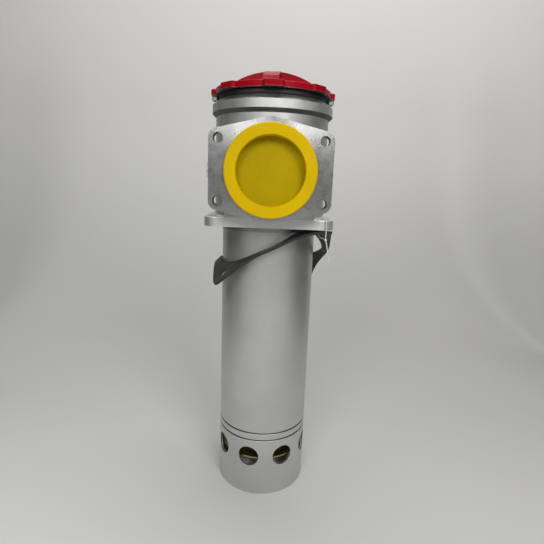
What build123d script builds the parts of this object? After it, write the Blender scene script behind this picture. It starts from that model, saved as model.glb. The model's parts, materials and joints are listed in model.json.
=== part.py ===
"""In-tank return line filter: a cast head with a rectangular inlet flange, a screw cover, and a
long tube with outlet holes that holds the filter element, magnets, bypass and self-sealing valve.

Millimetres, +Z up. The origin is on the tube's axis at the tank flange's underside, and the
inlet faces -Y.
"""

import os
from math import cos, pi, radians, sin, sqrt

from build123d import *

os.makedirs("parts", exist_ok=True)

# ---- tank flange and head casting
flange_width = 164.0
flange_corner = 18.0
flange_thickness = 12.0
tank_bolt_pitch = 130.0
bolt_hole_radius = 5.5
spot_face_radius = 11.0
spot_face_depth = 0.8
spigot_radius = 67.5
spigot_depth = 7.0
body_radius = 75.6
collar_radius = 80.5
rim_radius = 73.0
collar_foot = 137.5
collar_low = 142.0
collar_high = 152.5
rim_height = 158.5
chamber_radius = 67.0
cover_bore_radius = 60.0

# ---- inlet
inlet_height = 68.0
inlet_face = 112.0
inlet_flange_thickness = 14.0
inlet_bolt_x = 120.7
inlet_bolt_z = 69.9
inlet_ear_radius = 10.8
inlet_peak = 60.0
inlet_peak_radius = 14.0
neck_radius = 54.0
neck_foot_half_width = 56.0
port_radius = 44.0
cast_fillet = 4.0

# ---- tube
tube_radius = 65.0
tube_wall = 3.0
tube_bottom = -392.0
tube_top = 14.0
bead_heights = (-305.4, -294.7)
bead_depth = 1.3
outlet_count = 8
outlet_radius = 15.0
outlet_height = -332.0
outlet_turn = 28.5
tube_bore = tube_radius - tube_wall

# ---- bulkhead and self-sealing valve
bulkhead_top = -291.0
bulkhead_bottom = -309.0
seat_height = -311.0
seat_bore = 36.0
valve_gap = 0.3
valve_seal_thickness = 2.5
valve_plate_radius = 46.0
valve_plate_thickness = 2.5
valve_stem_radius = 5.0
cage_height = -336.0
cage_thickness = 2.0
cage_radius = 59.5
cage_post_circle = 52.0
cage_post_count = 4
cage_post_turn = 6.0
cage_post_radius = 4.5
cage_screw_radius = 2.5

# ---- filter element
element_foot = -286.0
element_top = 12.0
element_radius = 52.0
media_outer = 49.0
media_inner = 34.0
media_sheet = 2.4
pleat_count = 48
core_outer = 31.5
core_inner = 30.0
bypass_seat_radius = 15.0
bypass_floor = -28.0

# ---- magnets and hold-down
bridge_height = 34.0
bridge_thickness = 3.0
magnet_count = 5
magnet_height = 12.0
magnet_radius = 20.0
pole_thickness = 3.0
pole_radius = 23.0
rod_radius = 5.0
knob_height = 12.0
thrust_height = 156.0
thrust_thickness = 3.0
pilot_radius = 8.0

# ---- cover
cover_underside = 165.8
cover_plate_thickness = 7.4
cover_disc_radius = 77.3
cover_lobe_reach = 82.0
cover_lobe_count = 8
thread_radius = 59.6
skirt_bottom = 134.0
skirt_bore = 50.0
grip_half_length = 50.0
grip_width = 20.0
grip_top = 197.6
grip_turn = -4.0
running_gap = 0.05

# ---- tank gasket, hung loose round the tube by one corner
gasket_bore = 76.5
gasket_thickness = 3.0
gasket_tilt = 28.0
gasket_height = -54.5


def facing(turn):
    """Unit vector at an angle from the inlet's direction, positive towards +X."""
    return Vector(sin(radians(turn)), -cos(radians(turn)), 0)


def finish(piece, name):
    """Label a finished piece and write it as its own STEP file."""
    piece.part.label = name
    export_step(piece.part, f"parts/{name}.step")


def ring(inner, outer, low, high):
    """A plain turned ring about the tube's axis."""
    with BuildPart() as piece:
        with BuildSketch(Plane.XY.offset(low)):
            Circle(outer)
            Circle(inner, mode=Mode.SUBTRACT)
        extrude(amount=high - low)
    return piece


def o_ring(radius, section, height):
    """A round-section seal about the tube's axis."""
    with BuildPart() as piece:
        with BuildSketch(Plane.XZ):
            with Locations((radius, height)):
                Circle(section)
        revolve(axis=Axis.Z)
    return piece


def coil_spring(radius, wire, low, high, turns):
    """A compression spring that just clears the faces at low and high, its wire eight-sided."""
    start = low + wire + running_gap
    rise = high - low - 2 * (wire + running_gap)
    with BuildPart() as piece:
        with BuildLine() as path:
            Helix(pitch=rise / turns, height=rise, radius=radius, center=(0, 0, start))
        with BuildSketch(Plane(origin=path.line @ 0, z_dir=path.line % 0)):
            RegularPolygon(wire, 8)
        sweep()
    return piece


# ================================================================ head casting
with BuildPart() as head:
    with BuildSketch(Plane.XY):
        RectangleRounded(flange_width, flange_width, flange_corner)
    extrude(amount=flange_thickness)
    fillet(head.edges().group_by(Axis.Z)[-1], 1.5)
    # neck: a round pipe whose lower half drops straight to the tank flange
    with BuildSketch(Plane.XZ):
        with Locations((0, inlet_height)):
            Circle(neck_radius)
    extrude(amount=inlet_face - 1)
    with BuildSketch(Plane.XZ):
        with BuildLine():
            Polyline(
                (-neck_foot_half_width, 1),
                (neck_foot_half_width, 1),
                (neck_radius, inlet_height),
                (-neck_radius, inlet_height),
                close=True,
            )
        make_face()
    extrude(amount=flange_width / 2)
    # body, collar and spigot turned about the tube's axis
    with BuildSketch(Plane.XZ):
        with BuildLine():
            Polyline(
                (0, -spigot_depth),
                (spigot_radius, -spigot_depth),
                (spigot_radius, 1),
                (body_radius, 1),
                (body_radius, collar_foot),
                (collar_radius, collar_low),
                (collar_radius, collar_high),
                (rim_radius, rim_height),
                (0, rim_height),
                close=True,
            )
        make_face()
    revolve(axis=Axis.Z)
    # indicator boss on the -X side
    with BuildSketch(Plane.YZ.offset(-80)):
        with Locations((0, inlet_height + 2)):
            Circle(14)
    extrude(amount=20)
    # cast radius where the neck runs into the body
    curved = head.edges().filter_by(GeomType.BSPLINE) + head.edges().filter_by(GeomType.ELLIPSE)
    fillet(
        curved.filter_by(lambda edge: edge.center().Y < -30 and edge.center().Z > flange_thickness + 1),
        cast_fillet,
    )
    # inlet flange: ears round the bolt holes, drawn out to a peak above and below
    with BuildSketch(Plane.XZ.offset(inlet_face - inlet_flange_thickness)):
        with Locations((0, inlet_height)):
            with GridLocations(inlet_bolt_x, inlet_bolt_z, 2, 2):
                Circle(inlet_ear_radius)
            with GridLocations(0, 2 * (inlet_peak - inlet_peak_radius), 1, 2):
                Circle(inlet_peak_radius)
        make_hull()
    extrude(amount=inlet_flange_thickness)
    # cast radius where the neck meets the inlet flange
    flange_back = inlet_flange_thickness - inlet_face
    neck_root = head.edges().filter_by(GeomType.CIRCLE).filter_by_position(
        Axis.Y, flange_back - 0.1, flange_back + 0.1
    )
    fillet(neck_root.filter_by(lambda edge: abs(edge.radius - neck_radius) < 0.1), cast_fillet)
    # bores: tube socket, chamber and cover thread
    with BuildSketch(Plane.XZ):
        with BuildLine():
            Polyline(
                (0, -spigot_depth - 1),
                (tube_radius, -spigot_depth - 1),
                (tube_radius, tube_top),
                (tube_bore, tube_top),
                (tube_bore, tube_top + 4),
                (chamber_radius, tube_top + 9),
                (chamber_radius, 119),
                (cover_bore_radius, 126),
                (cover_bore_radius, rim_height - 1.5),
                (cover_bore_radius + 2.5, rim_height + 1),
                (0, rim_height + 1),
                close=True,
            )
        make_face()
    revolve(axis=Axis.Z, mode=Mode.SUBTRACT)
    with BuildSketch(Plane.XZ):
        with Locations((tube_radius + 1.55, 5.5)):
            Rectangle(3.3, 4.2)
    revolve(axis=Axis.Z, mode=Mode.SUBTRACT)
    with BuildSketch(Plane.XZ):
        with Locations((0, inlet_height)):
            Circle(port_radius)
    extrude(amount=inlet_face + 1, mode=Mode.SUBTRACT)
    with BuildSketch(Plane.YZ.offset(-81)):
        with Locations((0, inlet_height + 2)):
            Circle(8)
    extrude(amount=20, mode=Mode.SUBTRACT)
    # bolt holes, with machined seats for the tank bolts
    with BuildSketch(Plane.XY.offset(-1)):
        with GridLocations(tank_bolt_pitch, tank_bolt_pitch, 2, 2):
            Circle(bolt_hole_radius)
    extrude(amount=flange_thickness + 2, mode=Mode.SUBTRACT)
    with BuildSketch(Plane.XY.offset(flange_thickness - spot_face_depth)):
        with GridLocations(tank_bolt_pitch, tank_bolt_pitch, 2, 2):
            Circle(spot_face_radius)
    extrude(amount=4, mode=Mode.SUBTRACT)
    with BuildSketch(Plane.XZ.offset(inlet_face - inlet_flange_thickness - 1)):
        with Locations((0, inlet_height)):
            with GridLocations(inlet_bolt_x, inlet_bolt_z, 2, 2):
                Circle(bolt_hole_radius)
    extrude(amount=inlet_flange_thickness + 2, mode=Mode.SUBTRACT)
finish(head, "head")

finish(o_ring(tube_radius + 1.55, 1.5, 5.5), "tube_seal")

# ================================================================ tube
with BuildPart() as tube:
    with BuildSketch(Plane.XZ):
        with BuildLine():
            Polyline(
                (tube_bore, tube_bottom),
                (tube_radius, tube_bottom),
                (tube_radius, tube_top),
                (tube_bore, tube_top),
                close=True,
            )
        make_face()
        for height in bead_heights:
            with Locations((tube_bore, height)):
                RegularPolygon(bead_depth, 4, rotation=0)
            with Locations((tube_radius, height)):
                RegularPolygon(bead_depth, 4, rotation=0, mode=Mode.SUBTRACT)
    revolve(axis=Axis.Z)
    for index in range(outlet_count):
        way = facing(outlet_turn + index * 360 / outlet_count)
        with BuildSketch(Plane(origin=(0, 0, outlet_height), z_dir=way)):
            Circle(outlet_radius)
        extrude(amount=tube_radius + 5, mode=Mode.SUBTRACT)
finish(tube, "tube")

with BuildPart() as bottom_plate:
    with BuildSketch(Plane.XY.offset(tube_bottom + 2)):
        Circle(tube_bore)
    extrude(amount=2)
finish(bottom_plate, "bottom_plate")

# ================================================================ bulkhead and self-sealing valve
with BuildPart() as bulkhead:
    with BuildSketch(Plane.XZ):
        with BuildLine():
            Polyline(
                (seat_bore, seat_height),
                (seat_bore + 5, seat_height),
                (seat_bore + 7, bulkhead_bottom + 2),
                (tube_bore - 5, bulkhead_bottom + 2),
                (tube_bore - 4, bulkhead_bottom),
                (tube_bore, bulkhead_bottom),
                (tube_bore, bulkhead_top),
                (tube_bore - 4, bulkhead_top),
                (tube_bore - 5, bulkhead_top - 4),
                (seat_bore + 7, bulkhead_top - 4),
                (seat_bore + 6, element_foot),
                (seat_bore + 1.5, element_foot),
                (seat_bore, element_foot - 2),
                close=True,
            )
        make_face()
        for height in bead_heights:
            with Locations((tube_bore, height)):
                RegularPolygon(bead_depth + 0.02, 4, rotation=0, mode=Mode.SUBTRACT)
    revolve(axis=Axis.Z)
    # tapped holes for the cage screws
    with BuildSketch(Plane.XY.offset(bulkhead_bottom)):
        with PolarLocations(cage_post_circle, cage_post_count, start_angle=cage_post_turn):
            Circle(cage_screw_radius)
    extrude(amount=10, mode=Mode.SUBTRACT)
finish(bulkhead, "bulkhead")

seal_top = seat_height - valve_gap
plate_top = seal_top - valve_seal_thickness
plate_foot = plate_top - valve_plate_thickness

finish(ring(seat_bore - 5, valve_plate_radius - 2, plate_top, seal_top), "valve_seal")

with BuildPart() as valve_plate:
    with BuildSketch(Plane.XY.offset(plate_foot)):
        Circle(valve_plate_radius)
        Circle(valve_stem_radius, mode=Mode.SUBTRACT)
    extrude(amount=valve_plate_thickness)
    # turned-up middle that centres the rubber seal
    with BuildSketch(Plane.XY.offset(plate_top)):
        Circle(seat_bore - 5.2)
        Circle(seat_bore - 7.2, mode=Mode.SUBTRACT)
    extrude(amount=valve_seal_thickness - 0.5)
    fillet(valve_plate.edges().group_by(Axis.Z)[0].sort_by(SortBy.LENGTH)[-1], 1)
finish(valve_plate, "valve_plate")

with BuildPart() as valve_stem:
    with BuildSketch(Plane.XY.offset(plate_top)):
        Circle(12)
    extrude(amount=3)
    fillet(valve_stem.edges().group_by(Axis.Z)[-1], 1)
    with BuildSketch(Plane.XY.offset(plate_top)):
        Circle(valve_stem_radius)
    extrude(amount=-40)
    chamfer(valve_stem.edges().group_by(Axis.Z)[0], 0.8)
finish(valve_stem, "valve_stem")

with BuildPart() as valve_nut:
    with BuildSketch(Plane.XY.offset(plate_foot - 6)):
        RegularPolygon(8.5, 6, major_radius=False)
        Circle(valve_stem_radius, mode=Mode.SUBTRACT)
    extrude(amount=6)
finish(valve_nut, "valve_nut")

with BuildPart() as valve_cage:
    with BuildSketch(Plane.XY.offset(cage_height - cage_thickness)):
        Circle(cage_radius)
        Circle(45, mode=Mode.SUBTRACT)
        with PolarLocations(0, cage_post_count, start_angle=cage_post_turn):
            with Locations((30, 0)):
                Rectangle(50, 14)
        Circle(20)
        Circle(valve_stem_radius + running_gap, mode=Mode.SUBTRACT)
        with PolarLocations(cage_post_circle, cage_post_count, start_angle=cage_post_turn):
            Circle(cage_screw_radius, mode=Mode.SUBTRACT)
    extrude(amount=cage_thickness)
    # drawn hub that guides the stem
    with BuildSketch(Plane.XY.offset(cage_height - 9)):
        Circle(8)
        Circle(valve_stem_radius + running_gap, mode=Mode.SUBTRACT)
    extrude(amount=9 - cage_thickness)
finish(valve_cage, "valve_cage")

with BuildPart() as cage_posts:
    with BuildSketch(Plane.XY.offset(cage_height)):
        with PolarLocations(cage_post_circle, cage_post_count, start_angle=cage_post_turn):
            Circle(cage_post_radius)
            Circle(cage_screw_radius, mode=Mode.SUBTRACT)
    extrude(amount=bulkhead_bottom + 2 - cage_height)
finish(cage_posts, "cage_posts")

with BuildPart() as cage_screws:
    with BuildSketch(Plane.XY.offset(cage_height - cage_thickness - 4)):
        with PolarLocations(cage_post_circle, cage_post_count, start_angle=cage_post_turn):
            RegularPolygon(4.4, 6, major_radius=False)
    extrude(amount=4)
    with BuildSketch(Plane.XY.offset(cage_height - cage_thickness)):
        with PolarLocations(cage_post_circle, cage_post_count, start_angle=cage_post_turn):
            Circle(cage_screw_radius)
    extrude(amount=bulkhead_bottom + 8 - cage_height + cage_thickness)
finish(cage_screws, "cage_screws")

finish(coil_spring(17, 0.9, cage_height, plate_foot, 3.5), "valve_spring")

# ================================================================ filter element
with BuildPart() as element_bottom_cap:
    with BuildSketch(Plane.XZ):
        with BuildLine():
            Polyline(
                (core_inner - 2, element_foot - 12),
                (seat_bore - 1.4, element_foot - 12),
                (seat_bore - 0.4, element_foot - 10),
                (seat_bore - 0.4, element_foot),
                (element_radius, element_foot),
                (element_radius, element_foot + 9),
                (element_radius - 1.2, element_foot + 9),
                (element_radius - 1.2, element_foot + 2),
                (core_inner - 0.8, element_foot + 2),
                (core_inner - 0.8, element_foot + 7),
                (core_inner - 2, element_foot + 7),
                close=True,
            )
        make_face()
        with Locations((seat_bore - 1.6, element_foot - 6)):
            Rectangle(3.3, 3.6, mode=Mode.SUBTRACT)
    revolve(axis=Axis.Z)
finish(element_bottom_cap, "element_bottom_cap")

finish(o_ring(seat_bore - 1.65, 1.55, element_foot - 6), "element_seal")


def pleat_outline(peak, valley):
    """Points of a zigzag ring with its peaks and valleys on two circles."""
    step = pi / pleat_count
    radii = (peak, valley)
    return [
        (radii[k % 2] * cos(k * step), radii[k % 2] * sin(k * step)) for k in range(2 * pleat_count)
    ]


with BuildPart() as element_media:
    with BuildSketch(Plane.XY.offset(element_foot + 2)):
        with BuildLine():
            Polyline(*pleat_outline(media_outer, media_inner + media_sheet), close=True)
        make_face()
        with BuildLine():
            Polyline(*pleat_outline(media_outer - media_sheet, media_inner), close=True)
        make_face(mode=Mode.SUBTRACT)
    extrude(amount=element_top - 4 - element_foot - 2)
finish(element_media, "element_media")

with BuildPart() as element_core:
    with BuildSketch(Plane.XY.offset(element_foot + 2)):
        Circle(core_outer)
        Circle(core_inner, mode=Mode.SUBTRACT)
    extrude(amount=element_top - 4 - element_foot - 2)
    rows = 7
    columns = 6
    for row in range(rows):
        height = element_foot + 30 + row * 34
        for column in range(columns):
            way = facing((column + row % 2 / 2) * 360 / columns)
            with BuildSketch(Plane(origin=(0, 0, height), z_dir=way)):
                Rectangle(9, 9, rotation=45)
            extrude(amount=core_outer + 2, mode=Mode.SUBTRACT)
finish(element_core, "element_core")

with BuildPart() as element_top_cap:
    with BuildSketch(Plane.XZ):
        with BuildLine():
            Polyline(
                (bypass_seat_radius, element_top - 4),
                (element_radius - 1.2, element_top - 4),
                (element_radius - 1.2, element_top - 12),
                (element_radius, element_top - 12),
                (element_radius, element_top - 1),
                (element_radius - 1, element_top),
                (bypass_seat_radius + 1.5, element_top),
                (bypass_seat_radius, element_top - 1.5),
                close=True,
            )
        make_face()
    revolve(axis=Axis.Z)
finish(element_top_cap, "element_top_cap")

# ---- bypass valve under the top cap
cap_underside = element_top - 4
with BuildPart() as bypass_cage:
    with BuildSketch(Plane.XZ):
        with BuildLine():
            Polyline(
                (4 + running_gap, bypass_floor),
                (22, bypass_floor),
                (22, cap_underside),
                (24, cap_underside),
                (24, bypass_floor - 2),
                (7, bypass_floor - 2),
                (7, bypass_floor - 8),
                (4 + running_gap, bypass_floor - 8),
                close=True,
            )
        make_face()
    revolve(axis=Axis.Z)
    for turn in (0, 60, 120):
        with BuildSketch(Plane(origin=(0, 0, (cap_underside + bypass_floor) / 2), z_dir=facing(turn))):
            RectangleRounded(14, 22, 3)
        extrude(amount=60, both=True, mode=Mode.SUBTRACT)
finish(bypass_cage, "bypass_cage")

with BuildPart() as bypass_poppet:
    with BuildSketch(Plane.XZ):
        with BuildLine():
            Polyline(
                (0, bypass_floor - 14),
                (4, bypass_floor - 14),
                (4, cap_underside - valve_gap - 3),
                (18.5, cap_underside - valve_gap - 3),
                (18.5, cap_underside - valve_gap),
                (bypass_seat_radius - 1, cap_underside - valve_gap),
                (6, element_top - 1),
                (0, element_top - 1),
                close=True,
            )
        make_face()
    revolve(axis=Axis.Z)
finish(bypass_poppet, "bypass_poppet")

finish(
    coil_spring(12, 0.9, bypass_floor, cap_underside - valve_gap - 3, 7),
    "bypass_spring",
)

# ================================================================ magnets on a bridge over the bypass
with BuildPart() as magnet_bridge:
    with BuildSketch(Plane.XY.offset(bridge_height)):
        Circle(16)
        with PolarLocations(0, 3):
            with Locations((22, 0)):
                Rectangle(44, 12)
        Circle(rod_radius, mode=Mode.SUBTRACT)
    extrude(amount=bridge_thickness)
    with BuildSketch(Plane.XY.offset(element_top)):
        with PolarLocations(42.5, 3):
            Rectangle(3, 12)
    extrude(amount=bridge_height - element_top + 1)
    # feet turned outwards on the element's top cap
    with BuildSketch(Plane.XY.offset(element_top)):
        with PolarLocations(46, 3):
            Rectangle(8, 12)
    extrude(amount=2.5)
finish(magnet_bridge, "magnet_bridge")

stack_foot = bridge_height + bridge_thickness
stack_step = magnet_height + pole_thickness
stack_top = stack_foot + magnet_count * stack_step + pole_thickness

with BuildPart() as magnet_rod:
    with BuildSketch(Plane.XY.offset(bridge_height - 8)):
        Circle(rod_radius)
    extrude(amount=stack_top + knob_height - bridge_height + 8)
    chamfer(magnet_rod.edges(), 0.6)
finish(magnet_rod, "magnet_rod")

with BuildPart() as magnet_nut:
    with BuildSketch(Plane.XY.offset(bridge_height - 6)):
        RegularPolygon(8.5, 6, major_radius=False)
        Circle(rod_radius, mode=Mode.SUBTRACT)
    extrude(amount=6)
finish(magnet_nut, "magnet_nut")

with BuildPart() as magnets:
    for index in range(magnet_count):
        with BuildSketch(Plane.XY.offset(stack_foot + pole_thickness + index * stack_step)):
            Circle(magnet_radius)
            Circle(rod_radius, mode=Mode.SUBTRACT)
        extrude(amount=magnet_height)
finish(magnets, "magnets")

with BuildPart() as pole_discs:
    for index in range(magnet_count + 1):
        with BuildSketch(Plane.XY.offset(stack_foot + index * stack_step)):
            Circle(pole_radius)
            Circle(rod_radius, mode=Mode.SUBTRACT)
        extrude(amount=pole_thickness)
finish(pole_discs, "pole_discs")

with BuildPart() as pull_knob:
    with BuildSketch(Plane.XZ):
        with BuildLine():
            Polyline(
                (rod_radius, stack_top),
                (14, stack_top),
                (12, stack_top + 3),
                (20, stack_top + 7),
                (20, stack_top + knob_height - 2),
                (18, stack_top + knob_height),
                (9, stack_top + knob_height),
                (9, stack_top + knob_height + 5),
                (0, stack_top + knob_height + 5),
                (0, stack_top + knob_height),
                (rod_radius, stack_top + knob_height),
                close=True,
            )
        make_face()
    revolve(axis=Axis.Z)
finish(pull_knob, "pull_knob")

finish(coil_spring(13, 1.2, stack_top + knob_height, thrust_height, 5), "hold_down_spring")

boss_foot = thrust_height + thrust_thickness + valve_gap
with BuildPart() as thrust_cup:
    with BuildSketch(Plane.XZ):
        with BuildLine():
            Polyline(
                (0, thrust_height),
                (10, thrust_height),
                (10, thrust_height - 4),
                (11, thrust_height - 4),
                (11, thrust_height),
                (18, thrust_height),
                (18, thrust_height + thrust_thickness),
                (pilot_radius, thrust_height + thrust_thickness),
                (pilot_radius, thrust_height + 13),
                (0, thrust_height + 13),
                close=True,
            )
        make_face()
    revolve(axis=Axis.Z)
finish(thrust_cup, "thrust_cup")

# ================================================================ screw cover
plate_height = cover_underside + cover_plate_thickness
with BuildPart() as cover:
    with BuildSketch(Plane.XY.offset(cover_underside)) as rim:
        Circle(cover_disc_radius)
        with PolarLocations(cover_lobe_reach - 10, cover_lobe_count):
            RectangleRounded(20, 26, 5)
    extrude(amount=cover_plate_thickness)
    fillet(cover.faces().sort_by(Axis.Z)[-1].edges(), 1.2)
    # two opposite lobes are cast deeper than the rest
    with BuildSketch(Plane.XY.offset(rim_height + 1.5)):
        with PolarLocations(cover_lobe_reach - 5, 2):
            RectangleRounded(8, 16, 2)
    extrude(amount=cover_underside - rim_height - 1.5)
    # low dome
    with BuildSketch(Plane.XZ):
        with BuildLine():
            ThreePointArc((0, plate_height + 12), (32, plate_height + 8), (52, plate_height - 1))
            Polyline((52, plate_height - 1), (0, plate_height - 1), (0, plate_height + 12))
        make_face()
    revolve(axis=Axis.Z)
    # cross-shaped hand grip with arched wings
    for turn in (grip_turn, grip_turn + 90):
        along = facing(turn + 90)
        with BuildSketch(Plane(origin=(0, 0, 0), x_dir=along, z_dir=facing(turn))):
            with BuildLine():
                arch = ThreePointArc(
                    (-grip_half_length, plate_height + 11),
                    (0, grip_top),
                    (grip_half_length, plate_height + 11),
                )
                Polyline(
                    arch @ 1,
                    (grip_half_length + 1, plate_height - 1),
                    (-grip_half_length - 1, plate_height - 1),
                    arch @ 0,
                )
            make_face()
        extrude(amount=grip_width / 2, both=True)
    # threaded skirt
    with BuildSketch(Plane.XY.offset(skirt_bottom)):
        Circle(thread_radius)
    extrude(amount=cover_underside - skirt_bottom + 1)
    # hollow inside, leaving the pilot boss in the middle
    with BuildSketch(Plane.XZ):
        with BuildLine():
            Polyline(
                (0, skirt_bottom - 1),
                (skirt_bore, skirt_bottom - 1),
                (skirt_bore, cover_underside),
                (skirt_bore - 10, plate_height + 1),
                (16, plate_height + 5),
                (16, boss_foot),
                (0, boss_foot),
                close=True,
            )
        make_face()
    revolve(axis=Axis.Z, mode=Mode.SUBTRACT)
    with BuildSketch(Plane.XY.offset(boss_foot - 1)):
        Circle(pilot_radius + running_gap)
    extrude(amount=14, mode=Mode.SUBTRACT)
finish(cover, "cover")

with BuildPart() as cover_seal:
    with BuildSketch(Plane.XY.offset(rim_height + valve_gap)):
        Circle(72.4)
        Circle(thread_radius + 1.4, mode=Mode.SUBTRACT)
    extrude(amount=cover_underside - rim_height - valve_gap)
    fillet(cover_seal.edges().sort_by(SortBy.LENGTH)[-2:], 2.5)
finish(cover_seal, "cover_seal")

# ================================================================ indicator port plug
with BuildPart() as indicator_plug:
    with BuildSketch(Plane.YZ.offset(-88)):
        with Locations((0, inlet_height + 2)):
            RegularPolygon(10, 6, major_radius=False)
    extrude(amount=6)
    with BuildSketch(Plane.YZ.offset(-82)):
        with Locations((0, inlet_height + 2)):
            Circle(12)
    extrude(amount=0.5)
    with BuildSketch(Plane.YZ.offset(-81.5)):
        with Locations((0, inlet_height + 2)):
            Circle(8)
    extrude(amount=13)
finish(indicator_plug, "indicator_plug")

with BuildPart() as indicator_washer:
    with BuildSketch(Plane.YZ.offset(-81.5)):
        with Locations((0, inlet_height + 2)):
            Circle(12)
            Circle(8, mode=Mode.SUBTRACT)
    extrude(amount=1.5)
finish(indicator_washer, "indicator_washer")

# ================================================================ plastic plug in the inlet port
with BuildPart() as inlet_plug:
    with BuildSketch(Plane.YZ):
        with BuildLine():
            Polyline(
                (-inlet_face + 7, inlet_height),
                (-inlet_face + 7, inlet_height + 39),
                (-inlet_face - 5.4, inlet_height + 39.8),
                (-inlet_face - 6, inlet_height + 40.4),
                (-inlet_face - 6, inlet_height + 52.2),
                (-inlet_face - 5, inlet_height + 53.2),
                (-inlet_face, inlet_height + 53.2),
                (-inlet_face, inlet_height + 43.7),
                (-inlet_face + 14, inlet_height + 43),
                (-inlet_face + 16, inlet_height + 41),
                (-inlet_face + 16, inlet_height + 40),
                (-inlet_face + 9.5, inlet_height + 40),
                (-inlet_face + 9.5, inlet_height),
                close=True,
            )
        make_face()
    revolve(axis=Axis((0, 0, inlet_height), (0, 1, 0)))
finish(inlet_plug, "inlet_plug")

# ================================================================ tank gasket
tilt = radians(gasket_tilt)
gasket_plane = Plane(
    origin=(0, 0, gasket_height),
    x_dir=((1 + cos(tilt)) / 2, (1 - cos(tilt)) / 2, sin(tilt) / sqrt(2)),
    z_dir=(-sin(tilt) / sqrt(2), sin(tilt) / sqrt(2), cos(tilt)),
)
with BuildPart() as tank_gasket:
    with BuildSketch(gasket_plane):
        RectangleRounded(flange_width, flange_width, flange_corner)
        Circle(gasket_bore, mode=Mode.SUBTRACT)
        with GridLocations(tank_bolt_pitch, tank_bolt_pitch, 2, 2):
            Circle(bolt_hole_radius, mode=Mode.SUBTRACT)
    extrude(amount=gasket_thickness / 2, both=True)
finish(tank_gasket, "tank_gasket")
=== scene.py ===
# %% [markdown]
# # An in-tank return line filter
# The filter is a cast head on a long tube, with a red screw cover, a rectangular inlet flange
# closed by a yellow plastic plug, and a rubber tank gasket hung loose round the tube. The solid
# parts arrive already modelled at their real size, so this lesson gives them their finishes and
# makes the soft gasket, its thread, the cover's screw thread and the light.

import json
import math

import bmesh
import bpy
from mathutils import Matrix, Vector


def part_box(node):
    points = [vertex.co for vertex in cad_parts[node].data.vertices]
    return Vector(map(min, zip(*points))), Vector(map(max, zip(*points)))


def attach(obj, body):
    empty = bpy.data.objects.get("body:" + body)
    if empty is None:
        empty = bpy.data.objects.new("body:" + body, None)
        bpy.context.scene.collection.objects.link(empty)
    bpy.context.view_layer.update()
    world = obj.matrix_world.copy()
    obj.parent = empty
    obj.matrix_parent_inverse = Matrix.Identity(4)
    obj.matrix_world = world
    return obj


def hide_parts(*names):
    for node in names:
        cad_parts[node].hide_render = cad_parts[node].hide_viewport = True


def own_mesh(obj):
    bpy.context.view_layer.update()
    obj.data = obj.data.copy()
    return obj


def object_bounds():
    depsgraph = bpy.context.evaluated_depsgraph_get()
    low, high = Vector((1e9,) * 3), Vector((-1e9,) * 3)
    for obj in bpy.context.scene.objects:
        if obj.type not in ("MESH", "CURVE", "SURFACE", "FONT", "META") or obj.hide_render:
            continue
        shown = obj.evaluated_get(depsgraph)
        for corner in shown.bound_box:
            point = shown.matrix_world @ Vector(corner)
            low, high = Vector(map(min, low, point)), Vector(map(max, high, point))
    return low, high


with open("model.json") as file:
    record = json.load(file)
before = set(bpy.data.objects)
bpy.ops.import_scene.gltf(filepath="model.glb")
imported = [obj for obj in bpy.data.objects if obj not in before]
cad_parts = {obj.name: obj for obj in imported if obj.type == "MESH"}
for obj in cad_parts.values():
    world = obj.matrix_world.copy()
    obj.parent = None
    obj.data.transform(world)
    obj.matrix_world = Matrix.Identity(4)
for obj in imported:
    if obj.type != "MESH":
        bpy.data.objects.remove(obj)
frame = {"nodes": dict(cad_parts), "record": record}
parts_low, parts_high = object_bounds()
nodes = frame["nodes"]
scene = bpy.context.scene
print("parts:", len(nodes), "height:", round(parts_high.z - parts_low.z, 4), "m")

# %% [markdown]
# ## Camera
# The view is a little above the middle of the filter and looks slightly down, with a short
# wide lens close to the object, so the tube narrows towards its foot. The camera leans by two
# degrees, as a hand-held one does. Its axes are worked out from three angles and written into
# the camera's matrix, which is clearer than three Euler turns in a fixed order.

# %% Camera
camera_distance = 0.6037
camera_height = 0.0562
look_down = math.radians(12.01)
look_right = math.radians(0.673)
lean = math.radians(2.13)

camera_data = bpy.data.cameras.new("camera")
camera_data.sensor_width = 36
camera_data.lens = 27.92
camera = bpy.data.objects.new("camera", camera_data)
scene.collection.objects.link(camera)
forward = Vector(
    (
        math.sin(look_right) * math.cos(look_down),
        math.cos(look_right) * math.cos(look_down),
        -math.sin(look_down),
    )
)
level = Vector((math.cos(look_right), -math.sin(look_right), 0))
above = level.cross(forward)
across = level * math.cos(lean) + above * math.sin(lean)
upward = above * math.cos(lean) - level * math.sin(lean)
turned = Matrix((across, upward, -forward)).transposed()
camera.matrix_world = Matrix.Translation((0, -camera_distance, camera_height)) @ turned.to_4x4()
scene.camera = camera
scene.view_settings.view_transform = "Standard"
print("camera looks along", tuple(round(c, 3) for c in forward))


# %% [markdown]
# ## Building materials with nodes
# Every finish here is a Principled shader with a few nodes in front of it. Small helpers keep
# the cells short: most add one node and fill its inputs, each with either a socket to link or a
# plain value to set. The rest make a material with its shader, or a node group with its sockets.

# %% Node helpers
def feed(tree, socket, value):
    """Link a socket into an input, or set the input to a plain value."""
    if isinstance(value, bpy.types.NodeSocket):
        tree.links.new(value, socket)
    else:
        socket.default_value = value


def add(tree, kind, values=None, **settings):
    """Add a node, set its properties, then link or set each named input."""
    node = tree.nodes.new(kind)
    for name, value in settings.items():
        setattr(node, name, value)
    for name, value in (values or {}).items():
        feed(tree, node.inputs[name], value)
    return node


def maths(tree, operation, first, second):
    """One Math node, returning its output socket."""
    return add(tree, "ShaderNodeMath", {0: first, 1: second}, operation=operation).outputs[0]


def vector_maths(tree, operation, first, second=None):
    """One Vector Math node on one or two vectors."""
    values = {0: first} if second is None else {0: first, 1: second}
    return add(tree, "ShaderNodeVectorMath", values, operation=operation)


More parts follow.
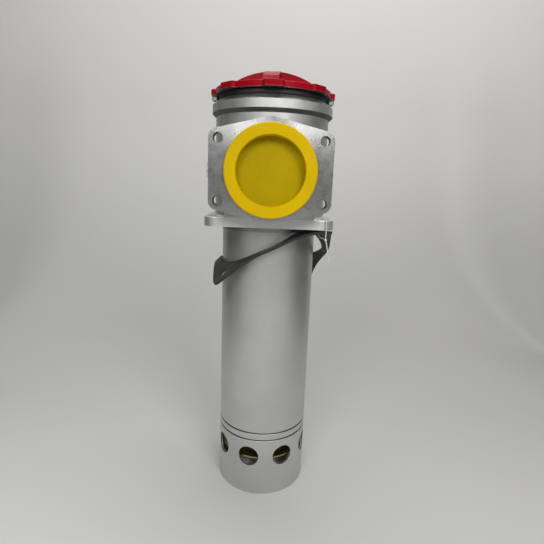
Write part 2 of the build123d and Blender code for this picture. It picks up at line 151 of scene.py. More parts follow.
def noise(tree, vector, scale, detail):
    """The Fac output of a Noise texture."""
    values = {"Vector": vector, "Scale": scale, "Detail": detail}
    return add(tree, "ShaderNodeTexNoise", values).outputs["Fac"]


def fade(tree, value, start, end, low=0.0, high=1.0):
    """A smooth ramp from low at start to high at end."""
    values = {"Value": value, "From Min": start, "From Max": end, "To Min": low, "To Max": high}
    node = add(tree, "ShaderNodeMapRange", values, interpolation_type="SMOOTHSTEP")
    return node.outputs["Result"]


def mix_colour(tree, factor, first, second):
    """Mix two colours, each a socket or an RGB triple."""
    node = add(tree, "ShaderNodeMix", {"Factor": factor}, data_type="RGBA")
    for slot, colour in ((6, first), (7, second)):
        plain = isinstance(colour, tuple)
        feed(tree, node.inputs[slot], (*colour, 1) if plain else colour)
    return node.outputs[2]


def mix_value(tree, factor, first, second):
    """Mix two numbers, each a socket or a plain number."""
    values = {"Factor": factor, 2: first, 3: second}
    return add(tree, "ShaderNodeMix", values, data_type="FLOAT").outputs[0]


def new_material(name, colour, metallic, roughness):
    """A material with one Principled shader, and its node tree."""
    material = bpy.data.materials.new(name)
    material.use_nodes = True
    shader = material.node_tree.nodes["Principled BSDF"]
    shader.inputs["Base Color"].default_value = (*colour, 1)
    shader.inputs["Metallic"].default_value = metallic
    shader.inputs["Roughness"].default_value = roughness
    return material, material.node_tree, shader


def new_group(name, inputs, outputs):
    """An empty node group with float or vector inputs and float outputs."""
    tree = bpy.data.node_groups.new(name, "ShaderNodeTree")
    for label, kind, value in inputs:
        socket = tree.interface.new_socket(label, in_out="INPUT", socket_type=f"NodeSocket{kind}")
        if kind == "Float":
            socket.default_value = value
    for label in outputs:
        tree.interface.new_socket(label, in_out="OUTPUT", socket_type="NodeSocketFloat")
    return tree, add(tree, "NodeGroupInput"), add(tree, "NodeGroupOutput")


def use_group(tree, group, values):
    """Place a node group in a material."""
    return add(tree, "ShaderNodeGroup", values, node_tree=group)


def cloud(tree, spot, scale, low=0.0, high=1.0):
    """The mottle group's value, a soft noise between two levels."""
    values = {"Place": spot, "Scale": scale, "Low": low, "High": high}
    return use_group(tree, mottle, values).outputs["Value"]


def place(tree):
    """Object coordinates, which are metres in the filter's own frame."""
    return add(tree, "ShaderNodeTexCoord").outputs["Object"]


def bump(tree, height, distance, strength=1.0, normal=None):
    """A Bump node whose height is in metres."""
    values = {"Height": height, "Distance": distance, "Strength": strength}
    if normal is not None:
        values["Normal"] = normal
    return add(tree, "ShaderNodeBump", values).outputs["Normal"]


# %% [markdown]
# ## Effects that several finishes share
# Cast and anodised metal, rubber and plastic all have a faint unevenness, so `mottle` gives one
# noise between two levels.

# %% Mottle group
mottle, given, result = new_group(
    "mottle",
    [("Place", "Vector", None), ("Scale", "Float", 60.0), ("Low", "Float", 0.0), ("High", "Float", 1.0)],
    ["Value"],
)
soft_noise = add(
    mottle,
    "ShaderNodeTexNoise",
    {"Vector": given.outputs["Place"], "Scale": given.outputs["Scale"], "Detail": 5.0, "Roughness": 0.6},
)
mottle.links.new(
    fade(mottle, soft_noise.outputs["Fac"], 0.3, 0.7, given.outputs["Low"], given.outputs["High"]),
    result.inputs["Value"],
)
print("group:", mottle.name)

# %% [markdown]
# ### Scuffs
# These are thin scratches in two directions on the plated parts. The noise is turned, squeezed
# across its direction, and then cut to its peaks, so that each peak is a short line.

# %% Scuff group
scuff_low = 0.60
scuff_high = 0.72
scuffs, given, result = new_group(
    "scuffs",
    [("Place", "Vector", None), ("Scale", "Float", 40.0), ("Amount", "Float", 0.5)],
    ["Mask"],
)
marks = []
for turn, stretch in ((0.75, 16.0), (-0.85, 22.0)):
    turned_place = add(scuffs, "ShaderNodeMapping", {"Vector": given.outputs["Place"]})
    turned_place.inputs["Rotation"].default_value = (0.0, turn, 0.0)
    lay = add(scuffs, "ShaderNodeMapping", {"Vector": turned_place.outputs["Vector"]})
    lay.inputs["Scale"].default_value = (1.0, 6.0, stretch)
    streak = noise(scuffs, lay.outputs["Vector"], given.outputs["Scale"], 1.0)
    marks.append(fade(scuffs, streak, scuff_low, scuff_high))
scuffs.links.new(
    maths(scuffs, "MULTIPLY", maths(scuffs, "MAXIMUM", *marks), given.outputs["Amount"]),
    result.inputs["Mask"],
)
print("group:", scuffs.name, "with", len(marks), "directions")

# %% [markdown]
# ### Turned rings
# A lathe or milling cutter leaves fine circular lines. The group tips the surface's normal to
# and fro along the radius, and a little more outwards than inwards, so that a faced surface
# shines on its upper side, where it leans towards the light, and is duller below.

# %% Turned rings group
outward_bias = 0.6
turned_rings, given, result = new_group(
    "turned_rings",
    [("Across", "Vector", None), ("Spacing", "Float", 0.001), ("Slope", "Float", 0.2)],
    [],
)
turned_rings.interface.new_socket("Normal", in_out="OUTPUT", socket_type="NodeSocketVector")
distance = vector_maths(turned_rings, "LENGTH", given.outputs["Across"]).outputs["Value"]
outward = vector_maths(turned_rings, "NORMALIZE", given.outputs["Across"]).outputs[0]
turns = maths(turned_rings, "DIVIDE", distance, given.outputs["Spacing"])
wave = maths(turned_rings, "SINE", maths(turned_rings, "MULTIPLY", turns, 2 * math.pi), 0.0)
lean_out = maths(turned_rings, "ADD", wave, outward_bias)
tip = vector_maths(turned_rings, "SCALE", outward)
turned_rings.links.new(
    maths(turned_rings, "MULTIPLY", lean_out, given.outputs["Slope"]), tip.inputs["Scale"]
)
surface = add(turned_rings, "ShaderNodeNewGeometry").outputs["Normal"]
tipped = vector_maths(turned_rings, "ADD", surface, tip.outputs[0]).outputs[0]
whole = vector_maths(turned_rings, "NORMALIZE", tipped).outputs[0]
turned_rings.links.new(whole, result.inputs["Normal"])
print("shared effects:", [g.name for g in bpy.data.node_groups])


# %% [markdown]
# ## The cast head
# The head is sand-cast aluminium, blasted to an even satin grey. The inlet flange's face, its
# edge, the rim under the cover and the spigot are machined afterwards. All of this is one
# casting, so it is one material: masks made from the place of each point choose between the
# cast skin, the cut metal, the tank flange painted lighter as painted light, and the painted
# shade in the undercut below the collar and in the bolt holes.

# %% Cast and machined aluminium
machined_step = 0.0002
collar_rim_height = 0.006
collar_height = 0.021
undercut_height = 0.0048
undercut_blur = 0.0004
inlet_flange_thickness = 0.014
tank_flange_top = 0.012
inlet_bolt_x = 0.06035
inlet_bolt_z = 0.03495
bolt_hole_radius = 0.0055
bolt_hole_rim = 0.0062

inlet_low, inlet_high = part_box("inlet_plug")
inlet_centre = (inlet_low + inlet_high) / 2
head_low, head_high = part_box("head")
inlet_face = head_low.y
collar_top = head_high.z - collar_rim_height
collar_foot = head_high.z - collar_height
undercut_top = collar_foot + undercut_height
flange_back = inlet_face + inlet_flange_thickness


def across_from(tree, spot, centre, axis):
    """Vector out from a line through centre along one axis."""
    flat = [1.0, 1.0, 1.0]
    flat["xyz".index(axis)] = 0.0
    offset = vector_maths(tree, "SUBTRACT", spot, centre).outputs[0]
    return vector_maths(tree, "MULTIPLY", offset, flat).outputs[0]


def head_masks(tree, spot):
    """Where the head is faced or machined, where painted shade darkens it, and the tank flange painted
    lighter as painted light.
    """
    axes = add(tree, "ShaderNodeSeparateXYZ", {"Vector": spot})
    y = axes.outputs["Y"]
    z = axes.outputs["Z"]
    face = fade(tree, y, inlet_face + machined_step, inlet_face + machined_step / 2)
    edge = fade(tree, y, flange_back + machined_step, flange_back - machined_step)
    rim = fade(tree, z, collar_top - machined_step, collar_top + machined_step)
    spigot = fade(tree, z, machined_step, -machined_step)
    machined = maths(tree, "MAXIMUM", maths(tree, "MAXIMUM", face, rim), spigot)
    bright = maths(tree, "MAXIMUM", machined, maths(tree, "MULTIPLY", edge, 0.55))
    # The tank flange band, which is painted lighter as painted light.
    above_foot = fade(tree, z, -machined_step, machined_step)
    below_top = fade(tree, z, tank_flange_top, tank_flange_top - machined_step)
    painted_light_flange = maths(tree, "MULTIPLY", above_foot, below_top)
    painted_light_flange = maths(tree, "MULTIPLY", painted_light_flange, maths(tree, "SUBTRACT", 1.0, edge))
    from_centre = across_from(tree, spot, inlet_centre, "y")
    one_corner = vector_maths(tree, "ABSOLUTE", from_centre).outputs[0]
    bolt = (inlet_bolt_x, 0.0, inlet_bolt_z)
    from_bolt = vector_maths(tree, "DISTANCE", one_corner, bolt).outputs["Value"]
    near_bolt = fade(tree, from_bolt, bolt_hole_rim, bolt_hole_radius)
    bolt_hole = maths(tree, "MULTIPLY", edge, near_bolt)
    # Painted shade: masks for the undercut below the collar and for the bolt hole bores.
    over_foot = fade(tree, z, collar_foot - undercut_blur, collar_foot + undercut_blur)
    under_top = fade(tree, z, undercut_top + undercut_blur, undercut_top - undercut_blur)
    dark = maths(tree, "MAXIMUM", maths(tree, "MULTIPLY", over_foot, under_top), bolt_hole)
    return face, bright, painted_light_flange, dark


def cast_and_machined():
    """Blasted casting with machined faces."""
    material, tree, shader = new_material("cast_and_machined", (0.5, 0.5, 0.48), 0.9, 0.5)
    spot = place(tree)
    face, bright, painted_light_flange, dark = head_masks(tree, spot)
    tone = cloud(tree, spot, 28.0)
    cast_colour = mix_colour(tree, tone, (0.51, 0.515, 0.495), (0.61, 0.61, 0.58))
    grit = fade(tree, noise(tree, spot, 520.0, 3.0), 0.36, 0.64)
    patch = maths(tree, "MULTIPLY", maths(tree, "ADD", tone, grit), 0.5)
    cut_colour = mix_colour(tree, patch, (0.34, 0.34, 0.34), (0.46, 0.455, 0.445))
    blasted = mix_colour(tree, bright, cast_colour, cut_colour)
    # Painted light: the tank flange is painted a lighter grey than the rest of the casting.
    skin = mix_colour(tree, painted_light_flange, blasted, (0.74, 0.74, 0.715))
    # Painted shade: the undercut and the bolt hole bores are painted near black.
    tree.links.new(mix_colour(tree, dark, skin, (0.12, 0.12, 0.115)), shader.inputs["Base Color"])
    cast_rough = cloud(tree, spot, 45.0, 0.50, 0.62)
    cut_rough = cloud(tree, spot, 90.0, 0.26, 0.34)
    tree.links.new(mix_value(tree, bright, cast_rough, cut_rough), shader.inputs["Roughness"])
    blasted_share = maths(tree, "SUBTRACT", 1.0, bright)
    sand = maths(tree, "MULTIPLY", noise(tree, spot, 900.0, 3.0), blasted_share)
    cutter = use_group(
        tree,
        turned_rings,
        {
            "Across": across_from(tree, spot, inlet_centre, "y"),
            "Spacing": 0.0006,
            "Slope": maths(tree, "MULTIPLY", face, 0.12),
        },
    )
    grain = bump(tree, sand, 0.00012, 0.5, cutter.outputs["Normal"])
    tree.links.new(grain, shader.inputs["Normal"])
    return material


print("inlet face at y", round(inlet_face, 4), "collar top at z", round(collar_top, 4))

# %% [markdown]
# ## The tube
# The tube is drawn aluminium with a satin silver finish. It shows one soft bright band where it
# faces the light, so the roughness matters more than the colour. Fine lines along the tube's
# length come from noise stretched in Z. Its two rolled grooves are painted near black as painted
# shade: the mask takes every point that lies a little inside the tube's outer radius.

# %% Satin tube
groove_shallow = (0.0002, 0.0004)
groove_deep = (0.0016, 0.0012)
tube_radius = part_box("tube")[1].x


def satin_tube():
    """Drawn and anodised aluminium tube."""
    material, tree, shader = new_material("satin_tube", (0.5, 0.5, 0.49), 0.85, 0.42)
    spot = place(tree)
    grain = add(tree, "ShaderNodeMapping", {"Vector": spot})
    grain.inputs["Scale"].default_value = (1.0, 1.0, 0.03)
    drawn = noise(tree, grain.outputs["Vector"], 700.0, 2.0)
    skin = mix_colour(tree, cloud(tree, spot, 14.0), (0.535, 0.54, 0.525), (0.595, 0.595, 0.58))
    from_axis = across_from(tree, spot, (0, 0, 0), "z")
    radius = vector_maths(tree, "LENGTH", from_axis).outputs["Value"]
    shallow, deep = (
        fade(tree, radius, tube_radius - start, tube_radius - end)
        for start, end in (groove_shallow, groove_deep)
    )
    # Painted shade: the two rolled grooves are painted near black.
    groove_shade = maths(tree, "MULTIPLY", shallow, deep)
    colour = mix_colour(tree, groove_shade, skin, (0.05, 0.05, 0.048))
    tree.links.new(colour, shader.inputs["Base Color"])
    tree.links.new(cloud(tree, spot, 60.0, 0.36, 0.43), shader.inputs["Roughness"])
    speck = noise(tree, spot, 1400.0, 2.0)
    lines = maths(tree, "ADD", maths(tree, "MULTIPLY", drawn, 0.5), speck)
    tree.links.new(bump(tree, lines, 0.00003, 0.5), shader.inputs["Normal"])
    return material


print("tube radius:", round(tube_radius, 4), "m")

# %% [markdown]
# ## The red cover
# The cover is a casting sprayed red from above: the top and the lobed rim are glossy red, and
# the underside, the two deep lugs and the thread stay bare metal. Paint gathers and thins, so
# its colour and gloss vary slightly, and a clear coat gives the sharp highlights.

# %% Red paint over bare metal
paint_blur = 0.0003
cover_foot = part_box("cover")[0].z
paint_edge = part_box("cover_seal")[1].z + paint_blur


def red_cover():
    """Gloss red paint that stops at the underside of the rim."""
    material, tree, shader = new_material("red_cover", (0.45, 0.005, 0.015), 0.0, 0.3)
    spot = place(tree)
    height = add(tree, "ShaderNodeSeparateXYZ", {"Vector": spot}).outputs["Z"]
    painted = fade(tree, height, paint_edge - paint_blur, paint_edge)
    paint = mix_colour(tree, cloud(tree, spot, 35.0), (0.28, 0.002, 0.008), (0.36, 0.003, 0.012))
    colour = mix_colour(tree, painted, (0.30, 0.30, 0.29), paint)
    tree.links.new(colour, shader.inputs["Base Color"])
    tree.links.new(maths(tree, "SUBTRACT", 1.0, painted), shader.inputs["Metallic"])
    rough = cloud(tree, spot, 70.0, 0.22, 0.34)
    tree.links.new(mix_value(tree, painted, 0.42, rough), shader.inputs["Roughness"])
    tree.links.new(maths(tree, "MULTIPLY", painted, 0.08), shader.inputs["Coat Weight"])
    shader.inputs["Coat Roughness"].default_value = 0.12
    shader.inputs["Specular IOR Level"].default_value = 0.08
    peel = noise(tree, spot, 420.0, 2.0)
    tree.links.new(bump(tree, peel, 0.00012, 0.35), shader.inputs["Normal"])
    return material


print("paint stops at z", round(paint_edge, 4))

# %% [markdown]
# ## Rubber and plastic
# The seals and the gasket are black rubber with a dusty grey bloom. The inlet plug is moulded
# polythene: light goes a little way in, so it has some subsurface scattering, and its floor
# keeps faint rings from the mould and is painted darker as painted shade.

# %% Rubber and plastic
def black_rubber():
    """Moulded black rubber with a grey bloom."""
    material, tree, shader = new_material("black_rubber", (0.02, 0.02, 0.02), 0.0, 0.6)
    spot = place(tree)
    bloom = cloud(tree, spot, 50.0)
    colour = mix_colour(tree, bloom, (0.014, 0.014, 0.014), (0.026, 0.026, 0.025))
    tree.links.new(colour, shader.inputs["Base Color"])
    tree.links.new(cloud(tree, spot, 120.0, 0.48, 0.66), shader.inputs["Roughness"])
    skin = noise(tree, spot, 1500.0, 3.0)
    tree.links.new(bump(tree, skin, 0.00006, 0.5), shader.inputs["Normal"])
    return material


plug_floor_start = 0.004
plug_floor_end = 0.0065


def yellow_plastic():
    """Moulded polythene with faint rings on its floor, which is painted darker as painted shade."""
    material, tree, shader = new_material("yellow_plastic", (0.62, 0.42, 0.0), 0.0, 0.42)
    spot = place(tree)
    depth = add(tree, "ShaderNodeSeparateXYZ", {"Vector": spot}).outputs["Y"]
    floor = fade(tree, depth, inlet_face + plug_floor_start, inlet_face + plug_floor_end)
    tone = cloud(tree, spot, 22.0)
    rim_colour = mix_colour(tree, tone, (0.60, 0.40, 0.0), (0.66, 0.44, 0.0))
    # Painted shade: the recessed floor is painted a darker yellow.
    shaded_floor_colour = mix_colour(tree, tone, (0.38, 0.275, 0.0), (0.43, 0.315, 0.0))
    tree.links.new(mix_colour(tree, floor, rim_colour, shaded_floor_colour), shader.inputs["Base Color"])
    tree.links.new(cloud(tree, spot, 80.0, 0.38, 0.5), shader.inputs["Roughness"])
    shader.inputs["Specular IOR Level"].default_value = 0.08
    shader.inputs["Subsurface Weight"].default_value = 0.05
    shader.inputs["Subsurface Radius"].default_value = (0.002, 0.0012, 0.0003)
    mould = use_group(
        tree,
        turned_rings,
        {
            "Across": across_from(tree, spot, inlet_centre, "y"),
            "Spacing": 0.0021,
            "Slope": maths(tree, "MULTIPLY", floor, 0.03),
        },
    )
    skin = noise(tree, spot, 350.0, 3.0)
    relief = bump(tree, skin, 0.00012, 0.3, mould.outputs["Normal"])
    tree.links.new(relief, shader.inputs["Normal"])
    return material


# %% [markdown]
# ## Small hardware and the parts inside
# Steel parts are zinc plated, bright or yellow, with a cloudy tone and a few scratches. Paper,
# ferrite and fibre are dull. Each part then takes the finish of its material slot, and every
# aluminium part but the head is plain turned metal.

# %% Plated and dull finishes
def plated(name, dark, light, low_rough, high_rough):
    """Zinc-plated or plain metal with a cloudy tone."""
    material, tree, shader = new_material(name, light, 1.0, high_rough)
    spot = place(tree)
    tree.links.new(mix_colour(tree, cloud(tree, spot, 75.0), dark, light), shader.inputs["Base Color"])
    tree.links.new(cloud(tree, spot, 160.0, low_rough, high_rough), shader.inputs["Roughness"])
    scratch = use_group(tree, scuffs, {"Place": spot, "Scale": 60.0, "Amount": 1.0})
    tree.links.new(bump(tree, scratch.outputs["Mask"], -0.00003, 0.4), shader.inputs["Normal"])
    return material


def matt(name, dark, light, roughness, grain):
    """A dull finish such as filter paper, ferrite or fibre."""
    material, tree, shader = new_material(name, light, 0.0, roughness)
    spot = place(tree)
    tree.links.new(mix_colour(tree, cloud(tree, spot, 90.0), dark, light), shader.inputs["Base Color"])
    fibre = noise(tree, spot, grain, 4.0)
    tree.links.new(bump(tree, fibre, 0.0001, 0.5), shader.inputs["Normal"])
    return material


rubber = black_rubber()
finishes = {
    "cast_aluminium": cast_and_machined(),
    "anodised_tube": satin_tube(),
    "red_paint": red_cover(),
    "black_rubber": rubber,
    "yellow_plastic": yellow_plastic(),
    "yellow_zinc": plated("yellow_zinc", (0.30, 0.27, 0.07), (0.44, 0.41, 0.16), 0.24, 0.38),
    "bright_zinc": plated("bright_zinc", (0.56, 0.57, 0.58), (0.70, 0.70, 0.71), 0.22, 0.36),
    "spring_steel": plated("spring_steel", (0.16, 0.16, 0.16), (0.26, 0.26, 0.26), 0.30, 0.45),
    "filter_media": matt("filter_media", (0.60, 0.57, 0.47), (0.72, 0.70, 0.62), 0.9, 900.0),
    "magnet_black": matt("magnet_black", (0.03, 0.03, 0.03), (0.06, 0.06, 0.06), 0.55, 700.0),
    "red_fibre": matt("red_fibre", (0.25, 0.04, 0.02), (0.34, 0.06, 0.03), 0.75, 800.0),
}
plain_castings = plated("turned_aluminium", (0.54, 0.54, 0.53), (0.66, 0.66, 0.64), 0.28, 0.42)

for part in frame["record"]["subparts"]:
    node = nodes[part["node"]]
    finish = finishes[part["material_slot"]]
    if part["material_slot"] == "cast_aluminium" and part["node"] != "head":
        finish = plain_castings
    node.data.materials.clear()
    node.data.materials.append(finish)
print("finishes:", len(finishes) + 1)

# %% [markdown]
# ## The springs
# A valve's spring stands on the housing and is pressed by the valve. A copy of each spring takes
# the rigid one's place and is attached to the housing.

# %% Springs of the two valves
for spring_name, joint_name in (
    ("valve_spring", "return_valve_slide"),
    ("bypass_spring", "bypass_valve_slide"),
):
    rigid = nodes[spring_name]
    coil_mesh = rigid.data.copy()
    coil_mesh.transform(rigid.matrix_world)
    coil = bpy.data.objects.new("springy_" + spring_name, coil_mesh)
    scene.collection.objects.link(coil)
    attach(coil, "housing")
    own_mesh(coil)
    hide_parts(spring_name)

# %% [markdown]
# ## The loose tank gasket
# The gasket is a 3 mm rubber sheet: a ring with an ear at each corner for a tank bolt. It hangs
# round the tube, with one corner flat under the tank flange and the opposite one lowest. It is
# modelled flat as rings of points from the bore out to the edge, the bolt holes are cut with a
# Boolean, and then every point is carried to its place by a formula. The bore follows a curve
# round the tube, and at each angle the sheet leans down by its own amount, which is how a real
# rubber ring twists.

# %% Gasket sizes
gasket_half = 0.082
gasket_corner = 0.008
gasket_bore = 0.072
gasket_thickness = 0.003
gasket_hole = 0.0055
small_turn = 0.01
gasket_hole_circle = 0.065 * math.sqrt(2)
# Height and radius of the bore, and the sheet's downward lean in degrees, at each eighth of a
# turn from the front towards the right.
gasket_stations = [
    (-0.0285, 0.0680, 5),
    (-0.0045, 0.0720, -3),
    (-0.0345, 0.0770, 25),
    (-0.0550, 0.0690, 55),
    (-0.0600, 0.0680, 50),
    (-0.0600, 0.0675, 48),
    (-0.0520, 0.0672, 45),
    (-0.0508, 0.0670, 39),
]


def station(turn):
    """Height, radius and lean of the bore at an angle, by a closed Catmull-Rom curve."""
    step = turn / (2 * math.pi) * len(gasket_stations)
    first = math.floor(step)
    part_way = step - first
    rows = [gasket_stations[(first + k) % len(gasket_stations)] for k in (-1, 0, 1, 2)]
    values = []
    for before, start, end, after in zip(*rows):
        values.append(
            start
            + 0.5 * part_way * (end - before)
            + part_way**2 * (before - 2.5 * start + 2 * end - 0.5 * after)
            + part_way**3 * (1.5 * (start - end) + 0.5 * (after - before))
        )
    return values


def bore_point(turn):
    """The bore's place in space, at an angle from the front towards the right."""
    height, radius, _ = station(turn)
    return Vector((radius * math.sin(turn), -radius * math.cos(turn), height))


def edge_radius(turn):
    """Distance from the middle to the flat gasket's edge, a square with round corners."""
    off = abs((turn + math.pi / 4) % (math.pi / 2) - math.pi / 4)
    corner_centre = gasket_half - gasket_corner
    if gasket_half * math.tan(off) <= corner_centre:
        return gasket_half / math.cos(off)
    reach = corner_centre * math.sqrt(2)
    beside = reach * math.sin(math.pi / 4 - off)
    return reach * math.cos(math.pi / 4 - off) + math.sqrt(gasket_corner**2 - beside**2)


def hang(flat):
    """Carry one point of the flat gasket to where it hangs round the tube."""
    turn = math.atan2(flat.x, -flat.y)
    along = (bore_point(turn + small_turn) - bore_point(turn - small_turn)).normalized()
    lean = math.radians(station(turn)[2])
    radial = Vector((math.sin(turn), -math.cos(turn), 0))
    outward = radial * math.cos(lean) - Vector((0, 0, math.sin(lean)))
    outward = (outward - along * outward.dot(along)).normalized()
    face = outward.cross(along)
    return bore_point(turn) + outward * (flat.xy.length - gasket_bore) + face * flat.z


degrees = [bore_point(math.radians(k)) for k in range(361)]
bore_length = sum((b - a).length for a, b in zip(degrees, degrees[1:]))
print("bore: flat", round(2 * math.pi * gasket_bore, 4), "hung", round(bore_length, 4), "m")

# %% [markdown]
# ### The sheet itself
# The flat ring is a closed sheet of quads with four cylinders cut out of it. The cut is made
# while it is still flat, because a Boolean is most exact there, and only then is it hung.

# %% Cut the gasket flat, then hang it
punch_sides = 40


def mesh_object(name, shape, smooth_angle=None):
    """Turn a bmesh into a linked object, smooth up to an angle."""
    mesh = bpy.data.meshes.new(name)
    shape.to_mesh(mesh)
    shape.free()
    if smooth_angle is not None:
        mesh.shade_smooth()
        mesh.set_sharp_from_angle(angle=math.radians(smooth_angle))
    made = bpy.data.objects.new(name, mesh)
    scene.collection.objects.link(made)
    return made


def flat_gasket(spokes=288, rings=8):
    """The gasket as a closed flat sheet, without its bolt holes."""
    shape = bmesh.new()
    layers = []
    for height in (-gasket_thickness / 2, gasket_thickness / 2):
        layer = []
        for k in range(spokes):
            turn = 2 * math.pi * k / spokes
            reach = edge_radius(turn) - gasket_bore
            radii = [gasket_bore + reach * j / rings for j in range(rings + 1)]
            layer.append(
                [shape.verts.new((r * math.sin(turn), -r * math.cos(turn), height)) for r in radii]
            )
        layers.append(layer)
    below, on_top = layers
    for k in range(spokes):
        n = (k + 1) % spokes
        for j in range(rings):
            shape.faces.new((on_top[k][j], on_top[k][j + 1], on_top[n][j + 1], on_top[n][j]))
            shape.faces.new((below[n][j], below[n][j + 1], below[k][j + 1], below[k][j]))
        shape.faces.new((on_top[n][0], below[n][0], below[k][0], on_top[k][0]))
        shape.faces.new((on_top[k][-1], below[k][-1], below[n][-1], on_top[n][-1]))
    bmesh.ops.recalc_face_normals(shape, faces=shape.faces)
    return mesh_object("flat_gasket", shape)


def punches():
    """Four cylinders where the bolt holes go."""
    shape = bmesh.new()
    for k in range(4):
        turn = math.pi / 4 + k * math.pi / 2
        centre = Vector((math.sin(turn), -math.cos(turn), 0)) * gasket_hole_circle
        bmesh.ops.create_cone(
            shape,
            cap_ends=True,
            segments=punch_sides,
            radius1=gasket_hole,
            radius2=gasket_hole,
            depth=4 * gasket_thickness,
            matrix=Matrix.Translation(centre),
        )
    return mesh_object("punches", shape)


sheet = flat_gasket()
tools = punches()
cut = sheet.modifiers.new("bolt_holes", "BOOLEAN")
cut.operation = "DIFFERENCE"
cut.solver = "EXACT"
cut.object = tools
finished = bpy.data.meshes.new_from_object(
    sheet.evaluated_get(bpy.context.evaluated_depsgraph_get())
)
finished.name = "gasket"
for vertex in finished.vertices:
    vertex.co = hang(vertex.co)
finished.shade_smooth()
finished.set_sharp_from_angle(angle=math.radians(50))
finished.materials.clear()
finished.materials.append(rubber)
gasket = bpy.data.objects.new("gasket", finished)
scene.collection.objects.link(gasket)
for helper in (sheet, tools):
    bpy.data.objects.remove(helper)
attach(gasket, "housing")
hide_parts("tank_gasket")
print("gasket faces:", len(finished.polygons))

# %% [markdown]
# ## The nylon thread that holds the gasket
# A thin clear thread goes through the front right corner hole of the flange and of the gasket,
# over the flange's edge, and is knotted in front with a short tail. It is a smooth curve led by
# its control points, and its bevel gives it its thickness. The knot is a small ball with swirls.

# %% Thread and knot
tie_radius = 0.0006
knot_radius = 0.0014
knot_place = (0.0711, -0.0848, -0.0118)
swirl_depth = 0.12
swirl_twist = 2600
tie_points = [
    (0.0708, -0.0846, -0.0110),
    (0.0713, -0.0839, -0.0015),
    (0.0706, -0.0834, 0.0090),
    (0.0701, -0.0817, 0.0137),
    (0.0682, -0.0755, 0.0140),
    (0.0664, -0.0696, 0.0132),
    (0.0652, -0.0672, 0.0060),
    (0.0642, -0.0654, -0.0030),
    (0.0641, -0.0660, -0.0090),
    (0.0660, -0.0712, -0.0108),
    (0.0688, -0.0780, -0.0102),
    (0.0716, -0.0850, -0.0128),
    (0.0730, -0.0854, -0.0205),
    (0.0750, -0.0852, -0.0300),
    (0.0770, -0.0845, -0.0400),
]


def clear_nylon():
    """Clear thread, drawn as pale frosted plastic so that it still shows at this size."""
    material, tree, shader = new_material("clear_nylon", (0.85, 0.87, 0.86), 0.0, 0.2)
    shader.inputs["Transmission Weight"].default_value = 0.25
    shader.inputs["IOR"].default_value = 1.53
    tree.links.new(cloud(tree, place(tree), 300.0, 0.12, 0.3), shader.inputs["Roughness"])
    return material


nylon = clear_nylon()
thread_data = bpy.data.curves.new("gasket_thread", "CURVE")
thread_data.dimensions = "3D"
line = thread_data.splines.new("NURBS")
line.points.add(len(tie_points) - 1)
for control, spot in zip(line.points, tie_points):
    control.co = (*spot, 1)
line.order_u = 3
line.use_endpoint_u = True
line.resolution_u = 10
thread_data.bevel_depth = tie_radius
thread_data.bevel_resolution = 3
thread_data.use_fill_caps = True
thread_data.materials.append(nylon)
thread = bpy.data.objects.new("gasket_thread", thread_data)
scene.collection.objects.link(thread)

knot_shape = bmesh.new()
bmesh.ops.create_icosphere(knot_shape, subdivisions=4, radius=knot_radius)
for vertex in knot_shape.verts:
    swirl = math.sin(3 * math.atan2(vertex.co.y, vertex.co.x) + vertex.co.z * swirl_twist)
    vertex.co *= 1 + swirl_depth * swirl
bmesh.ops.translate(knot_shape, verts=knot_shape.verts, vec=knot_place)
knot = mesh_object("thread_knot", knot_shape, 180)
knot.data.materials.append(nylon)
for piece in (thread, knot):
    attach(piece, "housing")
print("thread of", len(tie_points), "control points, and its knot")

# %% [markdown]
# ## Screw thread on the cover
# The cover's skirt carries a 3 mm thread that shows when the cover is unscrewed. One ridge is
# enough: a row of section points is turned round the axis and raised by the pitch each turn.

# %% Cover thread
thread_pitch = 0.003
skirt_radius = 0.0596
crest_radius = 0.05992
ridge_sink = 0.0002
ridge_half_foot = 0.0012
ridge_half_crest = 0.0004
thread_foot = cover_foot + 0.002
thread_turns = 6
thread_steps = 96


def cover_thread():
    """A helical ridge along the cover's skirt."""
    shape = bmesh.new()
    section = (
        (skirt_radius - ridge_sink, -ridge_half_foot),
        (crest_radius, -ridge_half_crest),
        (crest_radius, ridge_half_crest),
        (skirt_radius - ridge_sink, ridge_half_foot),
    )
    previous = None
    for k in range(thread_turns * thread_steps + 1):
        turn = 2 * math.pi * k / thread_steps
        rise = thread_foot + thread_pitch * k / thread_steps
        row = [
            shape.verts.new((radius * math.sin(turn), -radius * math.cos(turn), rise + offset))
            for radius, offset in section
        ]
        if previous is None:
            shape.faces.new(row)
        else:
            for a in range(4):
                b = (a + 1) % 4
                shape.faces.new((previous[a], previous[b], row[b], row[a]))
        previous = row
    shape.faces.new(reversed(previous))
    bmesh.ops.recalc_face_normals(shape, faces=shape.faces)
    ridge = mesh_object("cover_thread", shape, 30)
    ridge.data.materials.append(plain_castings)
    return ridge


ridge = cover_thread()
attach(ridge, "lid")
print("cover thread:", thread_turns, "turns at", thread_pitch, "m")

# %% [markdown]
# ## Floor and backdrop
# The filter stands on a pale grey sweep that curves up into a backdrop. Its colour carries
# painted light and shade: it is painted brighter near the front and up the wall than on the
# floor behind and to the right, because a shiny tube shows the floor in front of it.

# %% Sweep
floor_height = parts_low.z
sweep_half_width = 4.0
sweep_front = -3.0
bend_start = 0.6
bend_radius = 0.8
bend_steps = 16
wall_top = 3.5


def sweep():
    """Floor and wall in one smooth sheet."""
    shape = bmesh.new()
    profile = [(sweep_front, 0.0), (bend_start, 0.0)]
    for k in range(1, bend_steps + 1):
        a = math.pi / 2 * k / bend_steps
        profile.append((bend_start + bend_radius * math.sin(a), bend_radius * (1 - math.cos(a))))
    profile.append((bend_start + bend_radius, wall_top))
    rows = [
        [shape.verts.new((x, y, floor_height + z)) for x in (-sweep_half_width, sweep_half_width)]
        for y, z in profile
    ]
    for lower, upper in zip(rows, rows[1:]):
        shape.faces.new((lower[0], lower[1], upper[1], upper[0]))
    return mesh_object("sweep", shape, 40)


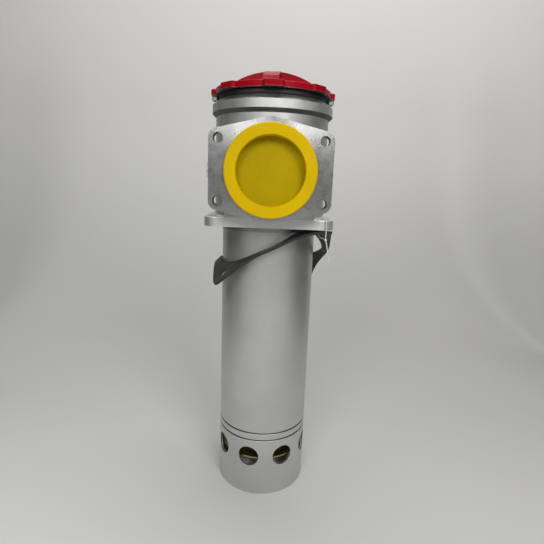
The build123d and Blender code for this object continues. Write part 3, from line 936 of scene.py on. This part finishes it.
backdrop = sweep()
paper, paper_tree, paper_shader = new_material("paper", (0.62, 0.61, 0.59), 0.0, 0.9)
where = add(paper_tree, "ShaderNodeSeparateXYZ", {"Vector": place(paper_tree)})
# Painted light and shade: the paper is lighter in front, darker behind and to the right, and lighter up
# the wall.
near = fade(paper_tree, where.outputs["Y"], 0.25, -0.30)
ground = mix_colour(paper_tree, near, (0.46, 0.457, 0.449), (0.59, 0.586, 0.575))
right = fade(paper_tree, where.outputs["X"], -0.3, 0.4, 0.0, 0.45)
ground = mix_colour(paper_tree, right, ground, (0.37, 0.365, 0.35))
lift = fade(paper_tree, where.outputs["Z"], floor_height, floor_height + 0.9)
colour = mix_colour(paper_tree, lift, ground, (0.71, 0.70, 0.672))
paper_tree.links.new(colour, paper_shader.inputs["Base Color"])
backdrop.data.materials.append(paper)
print("floor at z", round(floor_height, 4))

# %% [markdown]
# ### Dark cards
# Metal shows what is around it. A dark card on each side gives the round parts darker edges.
# The camera doesn't see the cards, only their reflection.

# %% Dark cards beside the filter
card_distance = 0.82
card_front = -0.45
card_back = 0.5
card_height = 1.1


def dark_card(name, x):
    """An upright card facing the filter from one side."""
    shape = bmesh.new()
    corners = (
        (card_front, 0.0),
        (card_back, 0.0),
        (card_back, card_height),
        (card_front, card_height),
    )
    shape.faces.new([shape.verts.new((x, y, floor_height + z)) for y, z in corners])
    return mesh_object(name, shape)


card = new_material("dark_card", (0.05, 0.05, 0.05), 0.0, 0.9)[0]
for name, x in (("card_left", -card_distance), ("card_right", card_distance)):
    side = dark_card(name, x)
    side.visible_camera = False
    side.data.materials.append(card)
    print(name, "at x", x)

# %% [markdown]
# ## Light
# Two soft lights stand in front, high up and to the right and left, and give the head and the
# tube their bright bands. One light hangs above, one brightens the wall, and a weak even glow
# fills the shadows.

# %% Lights
def soft_box(name, place_at, aim, width, height, power):
    """A rectangular soft light pointed at a place."""
    data = bpy.data.lights.new(name, "AREA")
    data.shape = "RECTANGLE"
    data.size = width
    data.size_y = height
    data.energy = power
    box = bpy.data.objects.new(name, data)
    scene.collection.objects.link(box)
    direction = Vector(aim) - Vector(place_at)
    facing = direction.to_track_quat("-Z", "Y").to_matrix().to_4x4()
    box.matrix_world = Matrix.Translation(place_at) @ facing
    print(name, "light,", power, "W")


soft_box("front_right", (0.72, -1.6, 1.10), (0, 0, -0.15), 0.8, 0.8, 21)
soft_box("front_left", (-0.55, -1.7, 1.10), (0, 0, -0.15), 0.7, 0.8, 15)
soft_box("above", (0.0, 0.1, 1.9), (0, 0, 0), 1.6, 1.6, 9)
soft_box("wall", (0.4, 0.3, 2.6), (0.5, 1.4, 0.9), 2.5, 0.8, 34)

world = bpy.data.worlds.new("surroundings")
world.use_nodes = True
scene.world = world
glow = world.node_tree.nodes["Background"]
glow.inputs["Color"].default_value = (0.95, 0.97, 1.0, 1)
glow.inputs["Strength"].default_value = 0.145
